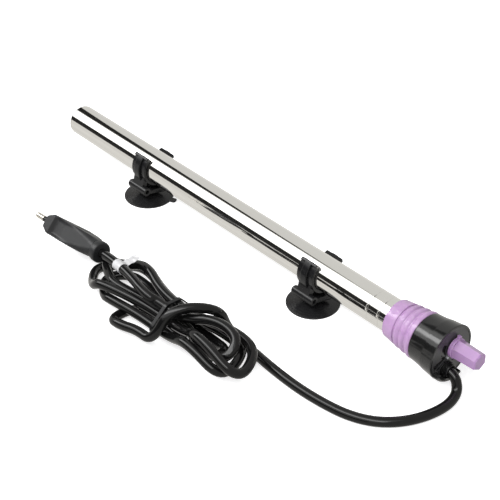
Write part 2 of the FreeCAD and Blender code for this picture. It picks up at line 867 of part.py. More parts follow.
# Per lobe: side, reach, skew of its tip, y of the way out and back, and the
# lifts of its four outer corners.
lobes = [
    (-1, 27.5, 0.5, -27.0, -2.5, 4.0, 0.5, 0.0, 0.0),
    (1, 50.0, 0.0, -6.5, 10.5, 2.5, 5.0, 1.0, 0.0),
    (-1, 54.0, 1.5, 13.5, -20.0, 0.0, 3.5, 3.5, 9.0),
    (1, 59.0, 4.5, -15.5, 16.5, 18.0, 6.0, 4.5, 4.5),
    (-1, 63.0, -0.5, 21.5, -20.5, 4.0, 0.0, 4.0, 18.5),
    (1, 68.0, 5.0, -12.5, 16.5, 27.0, 9.5, 11.5, 12.5),
    (-1, 75.5, 4.5, 14.5, -10.0, 14.5, 0.5, 8.0, 17.5),
    (1, 58.0, 1.0, -8.0, 8.5, 12.0, 11.5, 19.5, 22.0),
]
hank_feed = [lying(76.5, -66.0), lying(49.0, -63.5), lying(50.5, -71.0, 22.5),
             lying(34.5, -96.0, 26.5)]
hank_exit = lying(10.0, -95.5, 21.5)
tail_bend = lying(-16.0, -88.5, 19.5)
tail_joint = (hank_exit + tail_bend) * 0.5


def hank_corners():
    def corner(side, reach, y, z):
        return waist + Vector(side * reach, y, z)

    corners = list(hank_feed)
    corners.append(corner(1, 8, *strands[0]))
    for k, (side, reach, skew, out_y, back_y, *lifts) in enumerate(lobes):
        tip_out = 0.92 * out_y + 0.08 * back_y
        tip_back = 0.92 * back_y + 0.08 * out_y
        corners.append(corner(side, 0.22 * reach, *strands[k]))
        corners.append(corner(side, 0.62 * reach, out_y, lifts[0]))
        corners.append(corner(side, reach + skew, tip_out, lifts[1]))
        corners.append(corner(side, reach - skew, tip_back, lifts[2]))
        corners.append(corner(side, 0.62 * reach, back_y, lifts[3]))
        corners.append(corner(side, 0.22 * reach, *strands[k + 1]))
    corners.append(corner(-1, 9, *strands[-1]))
    return corners + [hank_exit, tail_joint]


def biarc(start, corner, end):
    # Two arcs with equal tangents, which leave the start and reach the end
    # along the lines through the corner.
    leave = corner - start
    leave.normalize()
    arrive = end - corner
    arrive.normalize()
    span = end - start
    a = 2 * (1 - leave.dot(arrive))
    b = 2 * span.dot(leave + arrive)
    c = -span.dot(span)
    if a < 1e-9:
        reach = -c / b
    else:
        reach = (-b + math.sqrt(b * b - 4 * a * c)) / (2 * a)
    joint = (start + end + (leave - arrive) * reach) * 0.5
    between = joint - (start + leave * reach)
    between.normalize()
    return (arc_along(start, leave, joint), arc_along(joint, between, end))


def arc_along(start, heading, end):
    chord = end - start
    ahead = chord.dot(heading)
    sideways = chord - heading * ahead
    half = math.atan2(sideways.Length, ahead)
    radius = chord.Length / (2 * math.sin(half))
    sideways.normalize()
    middle = (start + heading * (radius * math.sin(half))
              + sideways * (radius * (1 - math.cos(half))))
    return Part.Arc(start, middle, end).toShape(), radius, radius * 2 * half


def hank_path():
    corners = hank_corners()
    middles = [(p + q) * 0.5 for p, q in zip(corners, corners[1:-1])] + [corners[-1]]
    edges = [Part.LineSegment(corners[0], middles[0]).toShape()]
    radii = []
    for k in range(1, len(corners) - 1):
        for edge, radius, length in biarc(middles[k - 1], corners[k], middles[k]):
            edges.append(edge)
            radii.append(radius)
    return Part.Wire(edges), radii


def least_self_gap(path, step=1.5, near=18.0):
    points = path.discretize(Distance=step)
    skip = int(near / step)
    least = 1e9
    for i, p in enumerate(points):
        for q in points[i + skip:]:
            least = min(least, p.distanceToPoint(q))
    return least - 2 * cord_radius


def make_hank():
    path, radii = hank_path()
    solid = swept(path, cord_radius)
    report_tube("hank", solid, path, radii)
    print("hank least gap to itself", round(least_self_gap(path), 2))
    return solid


# The free run leaves the outlet, bends down to the floor and back along it.
cord_route = [
    at(gland_front - 7.6, outlet_offset),
    at(gland_front + 2.6, outlet_offset),
    lying(181.5, -2.5, 2.05),
    lying(184.1, -11.4),
    lying(183.8, -23.0),
    lying(180.2, -36.2),
    lying(173.6, -47.7),
    lying(164.3, -56.9),
    lying(151.4, -63.3),
    lying(136.2, -66.4),
    lying(117.5, -68.2),
    lying(96.5, -67.8),
    hank_feed[0],
]
tail_route = [tail_joint, tail_bend, lying(-38.4, -85.4, 17.25), plug_heel + lead_shift]


def make_cord():
    path, radii = run_path(cord_route)
    solid = swept(path, cord_radius)
    report_tube("free run", solid, path, radii)
    return solid


def make_tail():
    path, radii = run_path(tail_route)
    solid = swept(path, cord_radius)
    report_tube("tail", solid, path, radii)
    return solid


def make_tie():
    # The band follows the outer strands like a belt round pulleys.
    centres = sorted(strands[1:])

    def chain(points):
        kept = []
        for p in points:
            while len(kept) > 1 and ((kept[-1][0] - kept[-2][0]) * (p[1] - kept[-2][1])
                                     <= (kept[-1][1] - kept[-2][1]) * (p[0] - kept[-2][0])):
                kept.pop()
            kept.append(p)
        return kept[:-1]

    hull = chain(centres) + chain(centres[::-1])

    def belt(radius):
        edges = []
        count = len(hull)
        for k in range(count):
            before, here, after = hull[k - 1], hull[k], hull[(k + 1) % count]
            angles = []
            for p, q in ((before, here), (here, after)):
                angles.append(math.atan2(q[1] - p[1], q[0] - p[0]) - math.pi / 2)
            if angles[1] < angles[0]:
                angles[1] += 2 * math.pi
            ends = []
            for angle in (angles[0], sum(angles) / 2, angles[1]):
                ends.append(waist + Vector(-tie_width / 2, here[0] + radius * math.cos(angle),
                                           here[1] + radius * math.sin(angle)))
            if edges:
                edges.append(Part.LineSegment(last, ends[0]).toShape())
            else:
                first = ends[0]
            edges.append(Part.Arc(*ends).toShape())
            last = ends[2]
        edges.append(Part.LineSegment(last, first).toShape())
        return Part.Face(Part.Wire(edges)).extrude(Vector(tie_width, 0, 0))

    inner = cord_radius + tie_gap
    return belt(inner + tie_thickness).cut(belt(inner))


def make_label():
    start, end = tail_route[1], tail_route[2]
    heading = end - start
    heading.normalize()
    middle = (start + end) * 0.5
    inner = cord_radius + 0.15
    base = middle - heading * (label_length / 2)
    sleeve = Part.makeCylinder(inner + label_wall, label_length, base, heading)
    flag = Part.makeBox(label_length - 1, flag_length, label_wall,
                        Vector(0.5, inner - 0.2, 0))
    flag.Placement = FreeCAD.Placement(base, Rotation(heading, Vector(0, 0.55, 1),
                                                      Vector(0, 0, 1), "XYZ"))
    label = sleeve.fuse(flag)
    return label.cut(Part.makeCylinder(inner, 2 * label_length,
                                       middle - heading * label_length, heading))


# Plug. Its own frame has X from the heel to the face, and Y across the pins.

plug_reach = (plug_face - plug_heel).Length


def plug_placement():
    forward = plug_face - plug_heel
    return FreeCAD.Placement(plug_heel + lead_shift,
                             Rotation(forward, plug_tilt, Vector(0, 0, 1), "XYZ"))


def make_plug_body():
    def section(x, width, thickness):
        # A flat oval: two half circles joined by straight sides.
        r = thickness / 2
        flat = max(width / 2 - r, 0.4)
        points = [Vector(x, -flat, -r), Vector(x, flat, -r), Vector(x, flat + r, 0),
                  Vector(x, flat, r), Vector(x, -flat, r), Vector(x, -flat - r, 0)]
        edges = [Part.LineSegment(points[0], points[1]).toShape(),
                 Part.Arc(points[1], points[2], points[3]).toShape(),
                 Part.LineSegment(points[3], points[4]).toShape(),
                 Part.Arc(points[4], points[5], points[0]).toShape()]
        return Part.Wire(edges)

    neck = 2 * plug_neck_radius
    stages = [(plug_collar_length - 0.4, neck, neck * 0.98),
              (plug_reach * 0.22, neck * 1.25, neck * 1.05),
              (plug_reach * 0.42, plug_width * 0.72, plug_thickness * 0.96),
              (plug_reach * 0.62, plug_width * 0.95, plug_thickness),
              (plug_reach * 0.8, plug_width, plug_thickness),
              (plug_reach - 1.6, plug_width, plug_thickness),
              (plug_reach, plug_width - 2.6, plug_thickness - 2.6)]
    wires = [section(*stage) for stage in stages]
    body = Part.makeLoft(wires, True, True)
    heel = Part.makeCylinder(plug_collar_radius, plug_collar_length, Vector(0, 0, 0), AXIS)
    heel = heel.makeFillet(0.8, [edge for edge in heel.Edges if edge.Closed])
    body = body.fuse(heel)
    for side in (-1, 1):
        centre = Vector(plug_reach * 0.56, 0,
                        side * (plug_thickness / 2 + scoop_radius - scoop_depth))
        body = body.cut(Part.makeSphere(scoop_radius, centre))
    for side in (-1, 1):
        base = Vector(plug_reach - pin_anchor - 0.5, side * pin_spacing / 2, 0)
        body = body.cut(Part.makeCylinder(pin_shank_radius + slip_gap, 2 * pin_anchor, base,
                                          AXIS))
    body.Placement = plug_placement()
    return body


def make_pins():
    pins = []
    for side in (-1, 1):
        y = side * pin_spacing / 2
        shank = Part.makeCylinder(pin_shank_radius, pin_anchor + pin_sleeve_length,
                                  Vector(plug_reach - pin_anchor, y, 0), AXIS)
        tip = Part.makeCylinder(pin_radius, pin_length - pin_sleeve_length,
                                Vector(plug_reach + pin_sleeve_length, y, 0), AXIS)
        rim = [edge for edge in tip.Edges
               if edge.Closed and edge.CenterOfMass.x > plug_reach + pin_length - 1]
        pin = shank.fuse(tip.makeFillet(1.0, rim))
        pin.Placement = plug_placement()
        pins.append(pin)
    return Part.makeCompound(pins)


def make_pin_sleeves():
    sleeves = []
    for side in (-1, 1):
        base = Vector(plug_reach + 0.02, side * pin_spacing / 2, 0)
        length = pin_sleeve_length - 0.04
        sleeve = Part.makeCylinder(pin_sleeve_radius, length, base, AXIS)
        sleeve = sleeve.cut(Part.makeCylinder(pin_shank_radius + 0.01, length, base, AXIS))
        sleeve.Placement = plug_placement()
        sleeves.append(sleeve)
    return Part.makeCompound(sleeves)


nodes = {
    "tube": make_tube(),
    "end_pad": make_end_pad(),
    "ceramic_core": make_core(),
    "heating_wires": make_heating_wires(),
    "mica_discs": make_discs(),
    "heater_leads": make_heater_leads(),
    "thermostat_frame": make_frame(),
    "bimetal_strip": make_bimetal(),
    "bimetal_contact": make_contact(bimetal_top + slip_gap, bimetal_top + contact_height),
    "contact_arm": make_contact_arm(),
    "arm_contact": make_contact(arm_low - contact_height, arm_low - slip_gap),
    "magnet": make_magnet(),
    "capacitor": make_capacitor(),
    "adjusting_nut": make_nut(),
    "boot": make_boot(),
    "head": make_head(),
    "spigot_rings": make_spigot_rings(),
    "supply_wires": make_supply_wires(),
    "cord_gland": make_gland(),
    "end_cover": make_cover(),
    "cover_screw": make_cover_screw(),
    "pilot_lens": make_lens(),
    "pilot_lamp": make_pilot_lamp(),
    "knob": make_knob(),
    "knob_shaft": make_shaft(),
    "shaft_clip": make_shaft_clip(),
    "shaft_ring": make_shaft_ring(),
    "holder_far": make_holder(cup_stations[0]),
    "holder_near": make_holder(cup_stations[1]),
    "cup_far": make_cup(cup_stations[0], tab=True),
    "cup_near": make_cup(cup_stations[1]),
    "cord": make_cord(),
    "cord_hank": make_hank(),
    "cord_tail": make_tail(),
    "cord_tie": make_tie(),
    "cord_label": make_label(),
    "plug_body": make_plug_body(),
    "plug_pins": make_pins(),
    "pin_sleeves": make_pin_sleeves(),
}

for name, shape in nodes.items():
    if not shape.isValid():
        print("not valid:", name)
    shape.exportStep("parts/" + name + ".step")
print(len(nodes), "sub-parts; tube axis at y", round(tube_y, 3), "knob tip at x",
      round(x_at(knob_tip), 2), "cups at y", round(cup_y, 3), "pivot z",
      round(cup_pivot_height, 3))
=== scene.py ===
import bpy
import bmesh
import math
from mathutils import Matrix, Vector


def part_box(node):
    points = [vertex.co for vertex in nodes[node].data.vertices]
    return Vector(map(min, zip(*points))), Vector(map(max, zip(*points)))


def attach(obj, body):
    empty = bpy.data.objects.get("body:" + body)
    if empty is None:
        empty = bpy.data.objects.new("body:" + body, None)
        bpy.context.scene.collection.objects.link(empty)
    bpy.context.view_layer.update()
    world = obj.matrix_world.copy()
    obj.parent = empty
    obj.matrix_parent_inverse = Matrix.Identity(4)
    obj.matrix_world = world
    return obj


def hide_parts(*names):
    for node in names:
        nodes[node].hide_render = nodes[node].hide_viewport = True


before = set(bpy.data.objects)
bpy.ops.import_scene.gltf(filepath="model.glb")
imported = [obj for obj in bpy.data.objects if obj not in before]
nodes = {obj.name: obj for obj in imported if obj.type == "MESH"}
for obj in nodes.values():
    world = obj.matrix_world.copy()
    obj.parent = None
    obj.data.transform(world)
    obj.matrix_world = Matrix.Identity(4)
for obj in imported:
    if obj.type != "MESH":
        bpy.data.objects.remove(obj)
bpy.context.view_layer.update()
print("frame loaded with", len(nodes), "nodes")

# Camera, in metres, degrees and, for the lens, millimetres

viewpoint = {
    "place": (0.5127, -0.4678, 0.5121),
    "heading": 47.657,  # to the left of +Y
    "dip": 36.06,  # below the horizon
    "roll": 0.129,
    "lens": 93.06,
    "sensor": 36.0,
    "farthest": 50.0,
}


def placeCamera():
    lens = bpy.data.cameras.new("viewpoint")
    lens.sensor_width = viewpoint["sensor"]
    lens.lens = viewpoint["lens"]
    lens.clip_end = viewpoint["farthest"]
    camera = bpy.data.objects.new("viewpoint", lens)
    bpy.context.scene.collection.objects.link(camera)
    turn = Matrix.Rotation(math.radians(viewpoint["heading"]), 4, "Z")
    tilt = Matrix.Rotation(math.radians(90 - viewpoint["dip"]), 4, "X")
    roll = Matrix.Rotation(math.radians(viewpoint["roll"]), 4, "Z")
    camera.matrix_world = Matrix.Translation(viewpoint["place"]) @ turn @ tilt @ roll
    bpy.context.scene.camera = camera


placeCamera()
print("camera placed")

# Mains lead. Its points are in metres, in the order in which the lead passes them.

lead = {
    "radius": 0.00315,
    "freeRun": [
        (0.16655, -0.00133, 0.0143), (0.17675, -0.00133, 0.0143), (0.1815, -0.0025, 0.0052),
        (0.1841, -0.0114, 0.00315), (0.1838, -0.023, 0.00315), (0.1802, -0.0362, 0.00315),
        (0.1736, -0.0477, 0.00315), (0.1643, -0.0569, 0.00315), (0.1514, -0.0633, 0.00315),
        (0.1362, -0.0664, 0.00315), (0.1175, -0.0682, 0.00315), (0.0965, -0.0678, 0.00315),
    ],
    "feed": [(0.0765, -0.066, 0.00315), (0.049, -0.0635, 0.00315),
             (0.0505, -0.071, 0.02565), (0.0345, -0.096, 0.02965)],
    "tail": [(0.01, -0.0955, 0.02465), (-0.016, -0.0885, 0.02265), (-0.0384, -0.0854, 0.0204),
             (-0.0493, -0.0851, 0.0192)],
    "outlet": (0.17415, -0.00133, 0.0143),
    "length": 1.41,
    "stepsRound": 7,
    "stepsAlong": 10,
}

# The hank's sizes are in millimetres. A lift is counted from the lead lying on the
# floor. Shares are shares of a lobe's reach, which is counted from the waist.

hank = {
    "waist": (23.5, -86.9),
    # where each strand passes the waist: y from its middle, and lift
    "strands": [(-22.0, 5.5), (-4.0, 1.5), (10.0, 1.5), (-12.5, 6.5), (9.5, 9.5),
                (-4.5, 8.5), (5.0, 15.0), (3.0, 5.5), (-2.5, 15.5)],
    # side, reach, skew, y out, y back, then the lifts of the outer corners; a wide
    # lobe has five of them, because it has one more corner at its tip
    "lobes": [
        (-1, 31.0, 0.5, -25.5, -4.0, 4.0, 0.5, 0.0, 0.0),
        (1, 42.0, 0.0, -6.5, 10.5, 2.5, 4.0, 1.5, 0.0),
        (-1, 64.5, 3.5, 14.5, -17.0, 0.5, 2.5, 1.0, 3.0, 7.5),
        (1, 57.0, 5.0, -16.5, 17.0, 18.5, 5.0, 4.5, 4.0),
        (-1, 78.5, 2.5, 21.0, -17.5, 6.5, 1.0, 0.5, 3.0, 16.0),
        (1, 67.5, 5.0, -13.0, 16.5, 26.5, 8.0, 10.5, 12.5),
        (-1, 70.0, 5.5, 16.0, -8.5, 16.0, 5.0, 9.5, 11.0, 11.5),
        (1, 55.5, 0.5, -8.0, 8.5, 11.5, 11.0, 19.5, 21.5),
    ],
    "entry": 8.0,  # how far beside the waist's middle the lead comes in
    "exit": 9.0,  # and, on the other side, goes out to the tail
    "gathered": 0.22,  # share at which a lobe's two strands draw together
    "fanned": 0.62,  # share at which they lie apart
    "shoulder": 0.84,  # share at which a wide lobe starts to turn back
    "tip": 3.0,  # how far the outermost corner of a wide lobe stands past its reach
    "tipWidth": 0.92,  # 1 would put a tip's corners as far apart as its strands
}


def hankPoints():
    strands = hank["strands"]
    points = []

    def corner(side, reach, y, lift):
        points.append(((hank["waist"][0] + side * reach) / 1000,
                       (hank["waist"][1] + y) / 1000, lead["radius"] + lift / 1000))

    def drawnIn(y, otherY):
        return hank["tipWidth"] * y + (1 - hank["tipWidth"]) * otherY

    corner(1, hank["entry"], *strands[0])
    for k, (side, reach, skew, outY, backY, *lifts) in enumerate(hank["lobes"]):
        wide = len(lifts) == 5
        turn = hank["shoulder"] * reach if wide else reach
        corner(side, hank["gathered"] * reach, *strands[k])
        corner(side, hank["fanned"] * reach, outY, lifts[0])
        corner(side, turn + skew, drawnIn(outY, backY), lifts[1])
        if wide:
            corner(side, reach + hank["tip"], (outY + backY) / 2, lifts[2])
        corner(side, turn - skew, drawnIn(backY, outY), lifts[-2])
        corner(side, hank["fanned"] * reach, backY, lifts[-1])
        corner(side, hank["gathered"] * reach, *strands[k + 1])
    corner(-1, hank["exit"], *strands[-1])
    return points


def makeLead():
    points = lead["freeRun"] + lead["feed"] + hankPoints() + lead["tail"]
    curve = bpy.data.curves.new("mainsLead", "CURVE")
    curve.dimensions = "3D"
    curve.bevel_depth = 1.0  # each point's own radius then is the lead's
    curve.bevel_resolution = lead["stepsRound"]
    curve.resolution_u = lead["stepsAlong"]
    curve.use_fill_caps = True
    line = curve.splines.new("NURBS")
    line.points.add(len(points) - 1)
    for stop, point in zip(line.points, points):
        stop.co = (*point, 1)
        stop.radius = lead["radius"]
    line.order_u = 3
    line.use_endpoint_u = True
    flex = bpy.data.objects.new("mainsLead", curve)
    bpy.context.scene.collection.objects.link(flex)
    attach(flex, "heater")
    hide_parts("cord", "cord_hank", "cord_tail")
    return flex


mainsLead = makeLead()
print("mains lead laid")

# Shader helpers


class Wire:  # one output of a shader tree; sums and products add Math nodes
    def __init__(self, finish, socket):
        self.finish = finish
        self.socket = socket

    def math(self, operation, *values):
        return self.finish.node("Math", {"operation": operation}, dict(enumerate(values)))

    def __add__(self, other):
        return self.math("ADD", self, other)

    def __radd__(self, other):
        return self.math("ADD", other, self)

    def __mul__(self, other):
        return self.math("MULTIPLY", self, other)

    def __rmul__(self, other):
        return self.math("MULTIPLY", other, self)


class Finish:  # one material or world, and its nodes
    def __init__(self, holder):
        self.holder = holder
        holder.use_nodes = True
        self.tree = holder.node_tree

    def feed(self, socket, value):
        if isinstance(value, Wire):
            self.tree.links.new(value.socket, socket)
        elif socket.type == "RGBA" and len(value) == 3:
            socket.default_value = (*value, 1)
        else:
            socket.default_value = value

    def node(self, kind, settings=None, values=None, output=0):
        made = self.tree.nodes.new("ShaderNode" + kind)
        for name, setting in (settings or {}).items():
            setattr(made, name, setting)
        for name, value in (values or {}).items():
            self.feed(made.inputs[name], value)
        return Wire(self, made.outputs[output])

    def result(self, wire, kind):
        out = self.tree.nodes.new("ShaderNodeOutput" + kind)
        self.feed(out.inputs["Surface"], wire)

    def place(self):
        return self.node("TexCoord", output="Object")

    def stretched(self, scale):
        return self.node("Mapping", {}, {"Vector": self.place(), "Scale": scale})

    def noise(self, scale, detail=3.0, roughness=0.5, vector=None):
        return self.node("TexNoise", {}, {"Vector": vector or self.place(), "Scale": scale,
                                          "Detail": detail, "Roughness": roughness})

    def cloud(self, scale):
        return self.noise(scale, detail=4.0)

    def grain(self, scale):
        return self.noise(scale, detail=2.0)

    def alongTube(self):
        return self.node("SeparateXYZ", {}, {0: self.place()})

    def away(self, middle, axes):  # distance from a middle, counted on some of the axes
        arm = self.node("VectorMath", {"operation": "SUBTRACT"}, {0: self.place(), 1: middle})
        flat = self.node("VectorMath", {"operation": "MULTIPLY"}, {0: arm, 1: axes})
        return self.node("VectorMath", {"operation": "LENGTH"}, {0: flat}, "Value")

    def blend(self, share, first, second):  # sockets 6, 7 and output 2 are Mix's colours
        return self.node("Mix", {"data_type": "RGBA"}, {0: share, 6: first, 7: second}, 2)

    def bump(self, height, strength, distance):
        return self.node("Bump", {}, {"Height": height, "Strength": strength,
                                      "Distance": distance})


def newMaterial(name, constants, varying):
    finish = Finish(bpy.data.materials.new(name))
    surface = finish.tree.nodes["Principled BSDF"]
    for socket, value in (constants | varying(finish)).items():
        finish.feed(surface.inputs[socket], value)
    return finish.holder


# Finishes. Tones are linear, depths and lengths are in metres.

steel = {
    "tone": (0.82, 0.81, 0.785),
    "haze": (0.78, 0.77, 0.74),
    "hazeScale": 55.0,
    "drawnScale": (18, 900, 900),
    "roughness": 0.025,
    "hazeRoughness": 0.03,
    "drawnRoughness": 0.02,
    "bump": (0.03, 0.0001),
    "rimPaintedReflection": (0.035, 0.034, 0.033),  # a painted dark reflection on the rounded edge of the closed end
    "rimLength": 0.0015,
    "rimInner": 0.0096,
}


def polishedSteel():
    low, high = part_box("tube")
    axis = (0, (low.y + high.y) / 2, (low.z + high.z) / 2)

    def vary(finish):
        drawn = finish.noise(1.0, 4.0, 0.6, finish.stretched(steel["drawnScale"]))
        haze = finish.cloud(steel["hazeScale"])
        along = finish.alongTube()
        radius = finish.away(axis, (0, 1, 1))
        # painted dark reflection: the closed end's rounded edge is coloured dark
        paintedRim = (along.math("LESS_THAN", along, low.x + steel["rimLength"])
               * radius.math("GREATER_THAN", radius, steel["rimInner"]))
        plain = finish.blend(haze, steel["tone"], steel["haze"])
        return {
            "Base Color": finish.blend(paintedRim, plain, steel["rimPaintedReflection"]),
            "Roughness": (steel["roughness"] + steel["hazeRoughness"] * haze
                          + steel["drawnRoughness"] * drawn),
            "Normal": finish.bump(drawn, *steel["bump"]),
        }

    return newMaterial("polishedSteel", {"Metallic": 1.0}, vary)


boot = {
    "tone": (0.47, 0.30, 0.50),
    "shade": (0.36, 0.215, 0.41),
    "cloudScale": 160.0,
    "creaseScale": 210.0,
    "creaseRoughness": 0.45,
    "grainScale": 1500.0,
    "grainShare": 0.06,
    "roughness": 0.06,
    "cloudRoughness": 0.16,
    "bump": (0.8, 0.0011),
}


def lilacRubber():
    def vary(finish):
        crease = finish.noise(boot["creaseScale"], roughness=boot["creaseRoughness"])
        cloud = finish.cloud(boot["cloudScale"])
        height = crease + boot["grainShare"] * finish.grain(boot["grainScale"])
        return {
            "Base Color": finish.blend(cloud, boot["tone"], boot["shade"]),
            "Roughness": boot["roughness"] + boot["cloudRoughness"] * cloud,
            "Normal": finish.bump(height, *boot["bump"]),
        }

    constants = {"Subsurface Weight": 0.15, "Subsurface Radius": (0.004, 0.002, 0.005),
                 "Subsurface Scale": 0.4}
    return newMaterial("lilacRubber", constants, vary)


knob = {
    "tone": (0.41, 0.25, 0.46),
    "shade": (0.33, 0.19, 0.38),
    "cloudScale": 120.0,
    "grainScale": 700.0,
    "roughness": 0.16,
    "cloudRoughness": 0.12,
    "bump": (0.1, 0.0001),
}


def lilacPlastic():
    def vary(finish):
        cloud = finish.noise(knob["cloudScale"])
        return {
            "Base Color": finish.blend(cloud, knob["tone"], knob["shade"]),
            "Roughness": knob["roughness"] + knob["cloudRoughness"] * cloud,
            "Normal": finish.bump(finish.grain(knob["grainScale"]), *knob["bump"]),
        }

    constants = {"Subsurface Weight": 0.35, "Subsurface Radius": (0.006, 0.004, 0.008),
                 "Subsurface Scale": 0.5, "Coat Weight": 0.2, "Coat Roughness": 0.1}
    return newMaterial("lilacPlastic", constants, vary)


blacks = {
    "glossBlack": {"tone": (0.006, 0.006, 0.006), "mirroring": 0.5, "roughness": 0.06,
                   "spread": 0.14, "grainScale": 260.0, "bump": (0.2, 0.0002),
                   "drawnScale": (25, 160, 160)},
    "satinBlack": {"tone": (0.006, 0.006, 0.0065), "mirroring": 0.28, "roughness": 0.16,
                   "spread": 0.14, "grainScale": 1400.0, "bump": (0.2, 0.00005)},
    "sheathBlack": {"tone": (0.0032, 0.0032, 0.0032), "mirroring": 0.27, "roughness": 0.05,
                    "spread": 0.08, "grainScale": 700.0, "bump": (0.2, 0.00004)},
    "plugBlack": {"tone": (0.010, 0.0102, 0.011), "mirroring": 0.35, "roughness": 0.36,
                  "spread": 0.14, "grainScale": 2400.0, "bump": (0.2, 0.00008)},
}
blackCloud = {"scale": 90.0, "gain": 1.6, "lift": 0.002}


def darkPlastic(name):
    look = blacks[name]
    paler = tuple(blackCloud["gain"] * part + blackCloud["lift"] for part in look["tone"])

    def vary(finish):
        cloud = finish.cloud(blackCloud["scale"])
        height = finish.grain(look["grainScale"])
        if "drawnScale" in look:
            height = height + finish.noise(1.0, vector=finish.stretched(look["drawnScale"]))
        return {
            "Base Color": finish.blend(cloud, look["tone"], paler),
            "Roughness": look["roughness"] + look["spread"] * cloud,
            "Normal": finish.bump(height, *look["bump"]),
        }

    return newMaterial(name, {"Specular IOR Level": look["mirroring"]}, vary)


endFace = {
    "tone": (0.034, 0.034, 0.035),
    # painted shade: the floors of the face's recesses take this darker tone
    "recessPaintedShade": (0.007, 0.007, 0.0072),
    "raised": 0.00025,  # how far behind the face its grain starts to fade and the painted shade of its recesses starts
    "sunk": 0.00065,  # and where the floors of its recesses have none, and the full painted shade
    "grainScale": 900.0,
    "roughness": 0.08,
    "cloudRoughness": 0.14,
    "raisedRoughness": 0.22,
    "bump": (0.25, 0.0003),
    "mirroring": 0.5,
}


def coverBlack():
    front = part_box("end_cover")[1].x

    def vary(finish):
        raised = finish.node("MapRange", {}, {"Value": finish.alongTube(),
                                              "From Min": front - endFace["sunk"],
                                              "From Max": front - endFace["raised"]})
        cloud = finish.cloud(blackCloud["scale"])
        return {
            # painted shade on the recess floors, behind the raised face
            "Base Color": finish.blend(raised, endFace["recessPaintedShade"], endFace["tone"]),
            "Roughness": (endFace["roughness"] + endFace["cloudRoughness"] * cloud
                          + endFace["raisedRoughness"] * raised),
            "Normal": finish.bump(finish.grain(endFace["grainScale"]) * raised,
                                  *endFace["bump"]),
        }

    return newMaterial("coverBlack", {"Specular IOR Level": endFace["mirroring"]}, vary)


cups = {
    "middles": {"cup_far": (-0.10485, -0.002618, 0.0), "cup_near": (0.06195, -0.002618, 0.0)},
    "tone": (0.007, 0.007, 0.0075),
    "paler": (0.014, 0.014, 0.015),
    "cloudScale": 200.0,
    "ringPitch": 0.0022,  # of the moulding rings about each cup's middle
    "grainScale": 1500.0,
    "grainShare": 0.6,
    "roughness": 0.2,
    "cloudRoughness": 0.14,
    "bump": (0.12, 0.0001),
    "mirroring": 0.3,
}


def cupRubber(node):
    def vary(finish):
        radius = finish.away(cups["middles"][node], (1, 1, 0))
        turns = radius * (2 * math.pi / cups["ringPitch"])
        height = turns.math("SINE", turns) + cups["grainShare"] * finish.grain(cups["grainScale"])
        cloud = finish.cloud(cups["cloudScale"])
        return {
            "Base Color": finish.blend(cloud, cups["tone"], cups["paler"]),
            "Roughness": cups["roughness"] + cups["cloudRoughness"] * cloud,
            "Normal": finish.bump(height, *cups["bump"]),
        }

    return newMaterial(node + "Rubber", {"Specular IOR Level": cups["mirroring"]}, vary)


metals = {  # tone and roughness
    "darkMetal": ((0.20, 0.20, 0.21), 0.3),
    "springMetal": ((0.55, 0.55, 0.56), 0.25),
    "bronze": ((0.70, 0.50, 0.27), 0.25),
    "silver": ((0.82, 0.81, 0.79), 0.2),
    "pinMetal": ((0.66, 0.63, 0.57), 0.14),
}
metalCloud = {"scale": 300.0, "gain": 1.1, "roughness": 0.12}


def plainMetal(name):
    tone, roughness = metals[name]
    paler = tuple(metalCloud["gain"] * part for part in tone)

    def vary(finish):
        cloud = finish.cloud(metalCloud["scale"])
        return {"Base Color": finish.blend(cloud, tone, paler),
                "Roughness": roughness + metalCloud["roughness"] * cloud}

    return newMaterial(name, {"Metallic": 1.0}, vary)


plains = {  # tone and roughness
    "ceramic": ((0.84, 0.82, 0.76), 0.45),
    "board": ((0.35, 0.22, 0.11), 0.4),
    "palePlastic": ((0.78, 0.77, 0.74), 0.35),
    "labelFilm": ((0.55, 0.55, 0.56), 0.3),
    "mica": ((0.58, 0.51, 0.40), 0.35),
    "amberCase": ((0.60, 0.30, 0.07), 0.3),
}
plainCloud = {"scale": 200.0, "gain": 0.85, "roughness": 0.1, "grainScale": 1200.0,
              "bump": (0.1, 0.00005)}


def plainBody(name):
    tone, roughness = plains[name]
    darker = tuple(plainCloud["gain"] * part for part in tone)

    def vary(finish):
        cloud = finish.cloud(plainCloud["scale"])
        return {"Base Color": finish.blend(cloud, tone, darker),
                "Roughness": roughness + plainCloud["roughness"] * cloud,
                "Normal": finish.bump(finish.grain(plainCloud["grainScale"]),
                                      *plainCloud["bump"])}

    return newMaterial(name, {}, vary)


pilotLens = {"tone": (0.75, 0.76, 0.8), "clearness": 0.5, "roughness": 0.08,
             "spread": 0.05, "grainScale": 400.0}


def clearLens():
    def vary(finish):
        grain = finish.grain(pilotLens["grainScale"])
        return {"Roughness": pilotLens["roughness"] + pilotLens["spread"] * grain}

    return newMaterial("clearLens", {"Base Color": pilotLens["tone"],
                                     "Transmission Weight": pilotLens["clearness"]}, vary)


materials = {name: darkPlastic(name) for name in blacks}
materials |= {name: plainMetal(name) for name in metals}
materials |= {name: plainBody(name) for name in plains}

